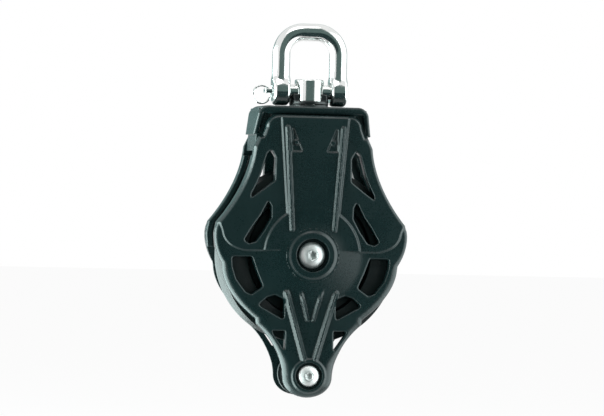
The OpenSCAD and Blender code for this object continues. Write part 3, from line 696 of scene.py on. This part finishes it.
def collar_field(x, y, z):
    """A disc with a lug at each side of the post, hollowed under the pin."""
    radius = np.hypot(x, y)
    half_flange = FLANGE_T / 2
    level = np.abs(z - COLLAR_LOW[2] - half_flange) - half_flange
    disc = round_edge(radius - COLLAR_HIGH[0], level, FLANGE_EDGE_R)
    lug = round_edge(radius - COLLAR_HIGH[0], z - COLLAR_HIGH[2], LUG_EDGE_R)
    lug = soft_max(lug, np.abs(y) - LUG_HALF, LUG_EDGE_R)
    lug = np.maximum(np.maximum(lug, POST_HIGH[0] + LUG_PLAY - radius), COLLAR_LOW[2] - z)
    cradle = PIN_R + PIN_IN_COLLAR_PLAY - np.hypot(y, z - PIN_Z)
    body = soft_max(soft_min(disc, lug, LUG_BLEND), cradle, CRADLE_EDGE_SOFT)
    return np.maximum(body, COLLAR_BORE - radius)


def make_split_ring():
    """Two turns of wire side by side, crossed over away from the pin."""
    wire_r = 0.34 * WIRE_T
    apart = 1.02
    offset = wire_r * apart
    start, sweep = math.radians(190), math.radians(700)
    crossing, crossing_width = math.radians(350), math.radians(36)
    steps, sides = 150, 12
    end_share, end_steps = 0.55, 4
    points, faces = [], []
    for i in range(steps + 1):
        along = sweep * i / steps
        a = start + along
        across = float(smooth_step(0.5 + (along - crossing) / crossing_width))
        shift = offset * (2 * across - 1)
        grown = min(1, i / end_steps, (steps - i) / end_steps)
        thin = wire_r * (end_share + (1 - end_share) * grown)
        for j in range(sides):
            b = 2 * math.pi * j / sides
            r = COIL_R + thin * math.cos(b)
            y = shift + thin * math.sin(b)
            points.append((WIRE_X + r * math.cos(a), y, WIRE_Z + r * math.sin(a)))
    for i in range(steps):
        for j in range(sides):
            n = (j + 1) % sides
            faces.append((i * sides + j, (i + 1) * sides + j, (i + 1) * sides + n, i * sides + n))
    faces.append(list(range(sides)))
    faces.append([steps * sides + j for j in reversed(range(sides))])
    return stands_for(mesh_object("coiled_split_ring", points, faces), "ring", "split_ring")


def make_sheave():
    """The wheel: a round-floored groove with a flared mouth, and a sunk ring in each side."""
    half = SHEAVE_HIGH[1]
    rim = SHEAVE_HIGH[0]
    bore = 14.43
    groove_r = 5.0
    groove_depth = 7.6
    rim_land = 0.3
    side_cut = 2.2
    cut_slope = 0.5
    hub_wall = 2.4
    rim_wall = 1.6
    edge_r = 0.3
    edge_steps = 3
    floor = rim - groove_depth
    seat = floor + groove_r
    side = [
        (bore, half), (bore + hub_wall, half), (bore + hub_wall + cut_slope, half - side_cut),
        (floor - rim_wall - cut_slope, half - side_cut), (floor - rim_wall, half),
        (rim, half), (rim, half - rim_land), (seat, groove_r),
    ]
    right = eased(side, edge_r, edge_steps)[edge_steps + 1:-edge_steps - 1]
    half_profile = [(bore, half)] + right + [(seat + 0.3, groove_r + 0.25)]
    groove = [(seat - groove_r * math.sin(a), groove_r * math.cos(a)) for a in np.linspace(0, math.pi, 25)]
    profile = half_profile + groove + [(r, -y) for r, y in reversed(half_profile)]
    return spun("turned_sheave", profile, "sheave", "sheave", AXLE_Z, closed=True, steps=144)


def make_roller():
    """The becket's roller, with a hollow waist between two flanges."""
    half = ROLLER_HIGH[1]
    rim = ROLLER_HIGH[0]
    bore = 2.75
    waist = 4.2
    flange_t = 1.6
    bevel = 0.5
    bevel_in = 0.15
    hollow_r = rim - waist
    top = half - flange_t
    flange = [
        (bore, half), (rim - bevel, half), (rim - bevel_in, half - bevel_in),
        (rim, half - bevel), (rim, top + 0.2),
    ]
    hollow = [(rim - hollow_r * math.sin(a), top - hollow_r + hollow_r * math.cos(a))
              for a in np.linspace(0.06, math.pi / 2, 12)]
    profile = flange + hollow
    profile += [(r, -y) for r, y in reversed(profile)]
    return spun("grooved_becket_roller", profile, "becket_roller", "becket_roller", BECKET_Z, closed=True)


def domed_screw(name, node, head_r, head_h, shank_r, seat_y, shank_end, socket_w, socket_deep, at_z,
                bore=None):
    """A screw or barrel along Y with a domed head and a six-sided socket. The head faces away
    from y = 0. A barrel's bore is (radius, how far from y = 0 its end lies)."""
    out = 1 if seat_y > 0 else -1
    seat = abs(seat_y)
    bevel = 0.3
    head_bevel = 0.15
    rim_bevel = 0.1
    socket_land = 0.25
    socket_bevel = 0.12
    socket_point = 0.3
    dome_rings = 10
    rim_h = 0.35 * head_h
    dome_h = head_h - rim_h
    dome_r = (head_r ** 2 + dome_h ** 2) / (2 * dome_h)
    middle = 0.02
    if bore:
        bore_r, bore_end = bore
        rings = [(middle, bore_end), (bore_r, bore_end)]
        rings += [(bore_r, shank_end + bevel), (bore_r + bevel, shank_end)]
    else:
        rings = [(middle, shank_end)]
    rings += [(shank_r - bevel, shank_end), (shank_r, shank_end + bevel), (shank_r, seat)]
    rings += [(head_r - head_bevel, seat), (head_r, seat + head_bevel), (head_r, seat + rim_h - rim_bevel)]
    socket_r = socket_w / 2
    last = math.asin((socket_r / math.cos(math.pi / 6) + socket_land) / dome_r)
    first = math.asin((head_r - rim_bevel) / dome_r)
    for i in range(dome_rings):
        a = first + (last - first) * i / (dome_rings - 1)
        rings.append((dome_r * math.sin(a), seat + head_h - dome_r + dome_r * math.cos(a)))
    top = rings[-1][1]
    floor = seat + head_h - socket_deep
    hexagons = range(len(rings), len(rings) + 4)
    rings += [(socket_r + socket_bevel, top - socket_bevel / 4), (socket_r, top - 1.25 * socket_bevel)]
    rings += [(socket_r, floor), (0.4 * socket_r, floor - socket_point)]
    rings = [(r, out * y) for r, y in rings]
    return spun(name, rings, node, "block", at_z, hexagons)


def make_screws():
    """A screw in front and a barrel behind, at the hub and then at the becket."""
    hub, eye = RECESS_FLOOR, BECKET_FLOOR
    at_hub = {
        "head_r": HUB_SCREW_HIGH[0], "head_h": 2.7, "socket_w": 3.0, "socket_deep": 1.6,
        "at_z": AXLE_Z,
    }
    at_eye = {
        "head_r": BECKET_SCREW_HIGH[0], "head_h": 2.2, "socket_w": 2.5, "socket_deep": 1.3,
        "at_z": BECKET_Z,
    }
    return [
        domed_screw("centre_button_screw", "centre_screw",
                    shank_r=2.5, seat_y=-hub, shank_end=4 - hub, **at_hub),
        domed_screw("axle_button_barrel", "axle_barrel",
                    shank_r=3.5, seat_y=hub, shank_end=0.4 - hub, bore=(2.53, hub - 2), **at_hub),
        domed_screw("becket_button_screw", "becket_screw",
                    shank_r=2.0, seat_y=-eye, shank_end=4 - eye, **at_eye),
        domed_screw("becket_button_barrel", "becket_barrel",
                    shank_r=2.7, seat_y=eye, shank_end=0.4 - eye, bore=(2.03, eye - 2), **at_eye),
    ]


def make_camera():
    """The photograph's view, with the axle at its place in the picture."""
    scene = bpy.context.scene
    scene.view_settings.view_transform = "Standard"
    camera = bpy.data.objects.new("camera", bpy.data.cameras.new("camera"))
    scene.collection.objects.link(camera)
    scene.camera = camera
    camera.data.lens = VIEW_LENS
    camera.data.sensor_width = SENSOR
    camera.data.clip_start = 0.05
    camera.data.clip_end = 50
    turn, rise, lean = math.radians(VIEW_TURN), math.radians(VIEW_RISE), math.radians(VIEW_LEAN)
    back = Vector((math.sin(turn) * math.cos(rise), -math.cos(turn) * math.cos(rise), math.sin(rise)))
    right = Vector((math.cos(turn), math.sin(turn), 0))
    up = back.cross(right)
    distance = PIXELS_WIDE / PIXELS_PER_MM * MM * VIEW_LENS / SENSOR
    across = (PIXELS_WIDE / 2 - HUB_PIXEL_X) / PIXELS_PER_MM * MM
    above = (HUB_PIXEL_Y - PIXELS_HIGH / 2) / PIXELS_PER_MM * MM
    to_right = across * math.cos(lean) - above * math.sin(lean)
    to_top = across * math.sin(lean) + above * math.cos(lean)
    camera.location = Vector((0, 0, AXLE_Z * MM)) + right * to_right + up * to_top + back * distance
    camera.rotation_mode = "QUATERNION"
    roll = Matrix.Rotation(lean, 4, "Z").to_quaternion()
    camera.rotation_quaternion = back.to_track_quat("Z", "Y") @ roll


def area_light(name, azimuth, height, distance, size, power, colour):
    """A soft rectangular lamp round the object. Azimuth 0 is in front and 90 is on the right."""
    data = bpy.data.lights.new(name, "AREA")
    data.shape = "RECTANGLE"
    data.size, data.size_y = size
    data.energy = power
    data.color = colour
    light = bpy.data.objects.new(name, data)
    bpy.context.scene.collection.objects.link(light)
    turn = math.radians(azimuth)
    place = Vector((math.sin(turn) * distance, -math.cos(turn) * distance, height))
    light.location = place
    light.rotation_mode = "QUATERNION"
    light.rotation_quaternion = (Vector((0, 0, AXLE_Z * MM)) - place).to_track_quat("-Z", "Y")
    light.visible_camera = False


def place_node(tree, kind, inputs=None, **settings):
    """A new node, with its inputs set to values or linked to other nodes' outputs."""
    made = tree.nodes.new(kind)
    for key, value in settings.items():
        setattr(made, key, value)
    for key, value in (inputs or {}).items():
        if isinstance(value, bpy.types.NodeSocket):
            tree.links.new(value, made.inputs[key])
        else:
            made.inputs[key].default_value = value
    return made


def maths(tree, operation, a, b=0.0, clamp=False):
    return place_node(tree, "ShaderNodeMath", {0: a, 1: b}, operation=operation, use_clamp=clamp).outputs[0]


def empty_material(name):
    """A new material and its node tree, with no nodes in it."""
    material = bpy.data.materials.new(name)
    material.use_nodes = True
    material.node_tree.nodes.clear()
    return material, material.node_tree


def seen_as_white(tree):
    """One for the rays that show the background, straight or in a reflection."""
    path = place_node(tree, "ShaderNodeLightPath")
    mirrored = maths(tree, "MAXIMUM", path.outputs["Is Glossy Ray"], path.outputs["Is Transmission Ray"])
    return maths(tree, "MAXIMUM", path.outputs["Is Camera Ray"], mirrored)


def make_world():
    """A white backdrop that sheds a soft light."""
    soft_strength = 0.3
    world = bpy.data.worlds.new("studio")
    bpy.context.scene.world = world
    world.use_nodes = True
    tree = world.node_tree
    tree.nodes.clear()
    white = place_node(tree, "ShaderNodeBackground", {"Color": (1, 1, 1, 1)})
    soft = place_node(tree, "ShaderNodeBackground", {"Color": (1, 1, 1, 1), "Strength": soft_strength})
    share = seen_as_white(tree)
    mix = place_node(tree, "ShaderNodeMixShader", {0: share, 1: soft.outputs[0], 2: white.outputs[0]})
    place_node(tree, "ShaderNodeOutputWorld", {"Surface": mix.outputs[0]})


def flat_sheet(name, corners, material):
    """A flat piece of the studio, which isn't part of the object."""
    mesh = bpy.data.meshes.new(name)
    mesh.from_pydata(corners, [], [(0, 1, 2, 3)])
    sheet = bpy.data.objects.new(name, mesh)
    bpy.context.scene.collection.objects.link(sheet)
    mesh.materials.append(material)
    return sheet


def make_floor():
    """A white floor, a little below the block, that keeps its shadow."""
    reach = 3.0
    gap = 0.03
    low = cad_low.z - gap
    shadow_share = 0.05
    material, tree = empty_material("pale_floor")
    paint = place_node(tree, "ShaderNodeBsdfDiffuse", {"Color": (0.9, 0.9, 0.9, 1)})
    glow = place_node(tree, "ShaderNodeEmission", {"Color": (1, 1, 1, 1)})
    share = maths(tree, "MULTIPLY", seen_as_white(tree), 1 - shadow_share)
    mix = place_node(tree, "ShaderNodeMixShader", {0: share, 1: paint.outputs[0], 2: glow.outputs[0]})
    place_node(tree, "ShaderNodeOutputMaterial", {"Surface": mix.outputs[0]})
    corners = [(x * reach, y * reach, low) for x, y in ((-1, -1), (1, -1), (1, 1), (-1, 1))]
    floor = flat_sheet("floor", corners, material)
    floor.visible_glossy = floor.visible_shadow = False


def make_card(name, azimuth, distance, half_wide, bottom, top, colour):
    """A tinted card that is only seen mirrored in the object's surfaces."""
    material, tree = empty_material(name)
    glow = place_node(tree, "ShaderNodeEmission", {"Color": (*colour, 1)})
    place_node(tree, "ShaderNodeOutputMaterial", {"Surface": glow.outputs[0]})
    turn = math.radians(azimuth)
    middle = Vector((math.sin(turn), -math.cos(turn), 0)) * distance
    side = Vector((math.cos(turn), math.sin(turn), 0)) * half_wide
    square = ((-1, bottom), (1, bottom), (1, top), (-1, top))
    card = flat_sheet(name, [tuple(middle + s * side + Vector((0, 0, z))) for s, z in square], material)
    card.visible_camera = card.visible_diffuse = card.visible_transmission = card.visible_shadow = False


def make_studio():
    """Tinted cards in front and behind, a large lamp at the left, smaller ones at the right and above."""
    make_world()
    make_floor()
    make_card("card_before_shackle", azimuth=-3, distance=0.6, half_wide=0.4,
              bottom=-0.028, top=0.9, colour=(0.11, 0.165, 0.155))
    make_card("card_before_cheeks", azimuth=-3, distance=0.6, half_wide=0.42,
              bottom=-1.05, top=-0.028, colour=(0.02, 0.04, 0.04))
    make_card("rear_card", azimuth=180, distance=0.8, half_wide=0.9,
              bottom=-0.02, top=0.42, colour=(0.3, 0.42, 0.41))
    area_light("left_softbox", azimuth=-102, height=-0.22, distance=0.42,
               size=(0.62, 0.8), power=12.5, colour=(0.8, 1.0, 0.98))
    area_light("right_softbox", azimuth=73, height=-0.05, distance=0.26,
               size=(0.34, 0.5), power=1.25, colour=(0.84, 1.0, 1.0))
    area_light("top_softbox", azimuth=-20, height=0.5, distance=0.2,
               size=(0.4, 0.3), power=0.8, colour=(1.0, 1.0, 1.0))


def node_group(name, inputs, outputs):
    """An empty effect with named number inputs and outputs, and its two end nodes."""
    group = bpy.data.node_groups.new(name, "ShaderNodeTree")
    for label, value in inputs.items():
        socket = group.interface.new_socket(label, in_out="INPUT", socket_type="NodeSocketFloat")
        socket.default_value = value
    for label in outputs:
        group.interface.new_socket(label, in_out="OUTPUT", socket_type="NodeSocketFloat")
    return group, group.nodes.new("NodeGroupInput"), group.nodes.new("NodeGroupOutput")


def spread(tree, value, low, high):
    """The value stretched so that low becomes zero and high becomes one."""
    limits = {"Value": value, "From Min": low, "From Max": high}
    return place_node(tree, "ShaderNodeMapRange", limits).outputs[0]


def make_mottle():
    """Cloudy variation and a fine grain."""
    group, source, target = node_group(
        "mottle_and_grain", {"Mottle Scale": 90.0, "Grain Scale": 2600.0}, ["Mottle", "Grain"])
    place = place_node(group, "ShaderNodeTexCoord").outputs["Object"]
    for label, detail in (("Mottle", 4.0), ("Grain", 2.0)):
        noise = place_node(group, "ShaderNodeTexNoise", {
            "Vector": place, "Scale": source.outputs[label + " Scale"], "Detail": detail, "Roughness": 0.6})
        group.links.new(spread(group, noise.outputs[0], 0.3, 0.7), target.inputs[label])
    return group


def make_edge_wear():
    """Wear along the convex edges, broken up by noise."""
    group, source, target = node_group("edge_wear", {"Start": 0.53, "End": 0.62, "Break Up": 0.6}, ["Wear"])
    edge = place_node(group, "ShaderNodeNewGeometry").outputs["Pointiness"]
    place = place_node(group, "ShaderNodeTexCoord").outputs["Object"]
    noise = place_node(group, "ShaderNodeTexNoise", {
        "Vector": place, "Scale": 420.0, "Detail": 5.0, "Roughness": 0.7})
    patchy = spread(group, noise.outputs[0], 0.38, 0.62)
    kept = maths(group, "SUBTRACT", 1.0, maths(group, "MULTIPLY", patchy, source.outputs["Break Up"]))
    worn = spread(group, edge, source.outputs["Start"], source.outputs["End"])
    group.links.new(maths(group, "MULTIPLY", worn, kept, clamp=True), target.inputs["Wear"])
    return group


def make_scratches():
    """Thin scratches in two directions."""
    group, source, target = node_group("thin_scratches", {"Amount": 0.5}, ["Scratch"])
    place = place_node(group, "ShaderNodeTexCoord").outputs["Object"]
    lines = []
    for turn, size in ((0.5, (2400, 2400, 70)), (-1.1, (90, 2600, 2600))):
        bent = place_node(group, "ShaderNodeMapping", {
            "Vector": place, "Rotation": (turn, turn / 2, turn), "Scale": size})
        noise = place_node(group, "ShaderNodeTexNoise", {
            "Vector": bent.outputs[0], "Scale": 1.0, "Detail": 1.0})
        lines.append(spread(group, noise.outputs[0], 0.66, 0.74))
    both = maths(group, "MAXIMUM", lines[0], lines[1])
    kept = maths(group, "MULTIPLY", both, source.outputs["Amount"], clamp=True)
    group.links.new(kept, target.inputs["Scratch"])
    return group


def make_turned_lines():
    """Fine rings round an axis along Y, as a lathe leaves them."""
    group, source, target = node_group(
        "turned_lines", {"Centre Height": 0.0, "Lines Per Metre": 5200.0}, ["Lines"])
    place = place_node(group, "ShaderNodeTexCoord").outputs["Object"]
    axes = place_node(group, "ShaderNodeSeparateXYZ", {0: place}).outputs
    high = maths(group, "SUBTRACT", axes["Z"], source.outputs["Centre Height"])
    wide_square = maths(group, "MULTIPLY", axes["X"], axes["X"])
    high_square = maths(group, "MULTIPLY", high, high)
    radius = maths(group, "SQRT", maths(group, "ADD", wide_square, high_square))
    along = maths(group, "ADD", radius, axes["Y"])
    count = maths(group, "MULTIPLY", along, source.outputs["Lines Per Metre"])
    noise = place_node(group, "ShaderNodeTexNoise", {
        "W": count, "Scale": 1.0, "Detail": 2.0}, noise_dimensions="1D")
    group.links.new(spread(group, noise.outputs[0], 0.3, 0.7), target.inputs["Lines"])
    return group


def blend(tree, share, a, b):
    """A colour from a to b."""
    return place_node(tree, "ShaderNodeMix", {0: share, 6: a, 7: b}, data_type="RGBA").outputs[2]


def finish(name, effects, dark, light, worn, rough, metallic=0.0, mottle=90.0, grain=2600.0, depth=0.000012,
           scratches=0.4, turned_at=None, specular=0.5):
    """A surface that varies from dark to light, with worn edges. rough is its lowest and highest
    roughness, depth the height of its bumps and turned_at the height of the axis it is turned on."""
    mottle_share, grain_share, scratch_share = 0.6, 0.4, 0.8
    material = bpy.data.materials.new(name)
    material.use_nodes = True
    tree = material.node_tree
    shader = tree.nodes["Principled BSDF"]
    shader.inputs["Metallic"].default_value = metallic
    shader.inputs["Specular IOR Level"].default_value = specular

    def effect(label, inputs):
        return place_node(tree, "ShaderNodeGroup", inputs, node_tree=effects[label]).outputs

    cloud = effect("mottle", {"Mottle Scale": mottle, "Grain Scale": grain})
    wear = effect("edge_wear", {})["Wear"]
    scratch = effect("scratches", {"Amount": scratches})["Scratch"]
    height = cloud["Grain"]
    if turned_at is not None:
        height = maths(tree, "ADD", height, effect("turned_lines", {"Centre Height": turned_at})["Lines"])
    colour = blend(tree, cloud["Mottle"], (*dark, 1), (*light, 1))
    tree.links.new(blend(tree, wear, colour, (*worn, 1)), shader.inputs["Base Color"])
    from_mottle = maths(tree, "MULTIPLY", cloud["Mottle"], mottle_share)
    from_grain = maths(tree, "MULTIPLY", height, grain_share)
    from_scratch = maths(tree, "MULTIPLY", scratch, scratch_share)
    rougher = maths(tree, "ADD", maths(tree, "ADD", from_mottle, from_grain), from_scratch)
    level = maths(tree, "MULTIPLY", rougher, rough[1] - rough[0])
    tree.links.new(maths(tree, "ADD", level, rough[0], clamp=True), shader.inputs["Roughness"])
    relief = maths(tree, "SUBTRACT", height, scratch)
    bump = place_node(tree, "ShaderNodeBump", {"Height": relief, "Distance": depth})
    tree.links.new(bump.outputs[0], shader.inputs["Normal"])
    return material


def make_finishes():
    """The materials by name."""
    effects = {
        "mottle": make_mottle(), "edge_wear": make_edge_wear(),
        "scratches": make_scratches(), "turned_lines": make_turned_lines(),
    }
    axle, becket = AXLE_Z * MM, BECKET_Z * MM
    steel = {
        "dark": (0.72, 0.74, 0.73), "light": (0.84, 0.85, 0.84), "worn": (0.9, 0.9, 0.89),
        "metallic": 1.0,
    }
    looks = {
        "moulded_composite": {
            "dark": (0.0042, 0.0145, 0.0150), "light": (0.0062, 0.0182, 0.0188),
            "worn": (0.01, 0.025, 0.026), "rough": (0.22, 0.34),
            "mottle": 60.0, "depth": 0.000014, "specular": 0.45,
        },
        "polished_stainless": {**steel, "rough": (0.09, 0.17), "depth": 0.000002, "scratches": 0.5},
        "hub_screw_steel": {**steel, "rough": (0.4, 0.5), "depth": 0.000005, "turned_at": axle},
        "becket_screw_steel": {**steel, "rough": (0.4, 0.5), "depth": 0.000005, "turned_at": becket},
        "sheave_black": {
            "dark": (0.0014, 0.0045, 0.005), "light": (0.0024, 0.0062, 0.0068),
            "worn": (0.006, 0.011, 0.012), "rough": (0.24, 0.34),
            "turned_at": axle, "depth": 0.00001, "specular": 0.8,
        },
        "roller_black": {
            "dark": (0.002, 0.0055, 0.006), "light": (0.0034, 0.0075, 0.008),
            "worn": (0.008, 0.013, 0.014), "rough": (0.24, 0.36),
            "turned_at": becket, "depth": 0.00001,
        },
        "bearing_black": {
            "dark": (0.009, 0.013, 0.014), "light": (0.014, 0.019, 0.02),
            "worn": (0.03, 0.036, 0.036), "rough": (0.26, 0.4),
        },
        "bearing_white": {
            "dark": (0.76, 0.75, 0.7), "light": (0.83, 0.82, 0.77),
            "worn": (0.86, 0.85, 0.82), "rough": (0.28, 0.4),
            "turned_at": axle, "depth": 0.000006,
        },
    }
    return {name: finish(name, effects, **look) for name, look in looks.items()}


def dress(pieces, material):
    """Each piece gets this material alone."""
    for piece in pieces:
        piece.data.materials.clear()
        piece.data.materials.append(material)


def main():
    """The camera, the studio, a material for each solid, and the pieces that take a solid's place."""
    make_camera()
    make_studio()
    finishes = make_finishes()
    for name, slot in SLOTS.items():
        node = frame["nodes"].get(name)
        if node is not None:
            dress([node], finishes[slot])
    dress(make_cheeks(), finishes["moulded_composite"])
    head = sculpted("moulded_head", head_field, "head_yoke", "block", HEAD_VOXEL)
    dress([head], finishes["moulded_composite"])
    dress([make_sheave()], finishes["sheave_black"])
    dress([make_roller()], finishes["roller_black"])
    collar = sculpted("moulded_collar", collar_field, "swivel_collar", "swivel", FITTING_VOXEL)
    dress([collar], finishes["bearing_black"])
    dress([
        sculpted("forged_bow", bow_field, "shackle_bow", "shackle", FITTING_VOXEL),
        sculpted("turned_pin", pin_field, "shackle_pin", "shackle", PIN_VOXEL),
        sculpted("turned_post", post_field, "swivel_post", "swivel", FITTING_VOXEL),
        make_split_ring(),
    ], finishes["polished_stainless"])
    screws = make_screws()
    dress(screws[:2], finishes["hub_screw_steel"])
    dress(screws[2:], finishes["becket_screw_steel"])


main()
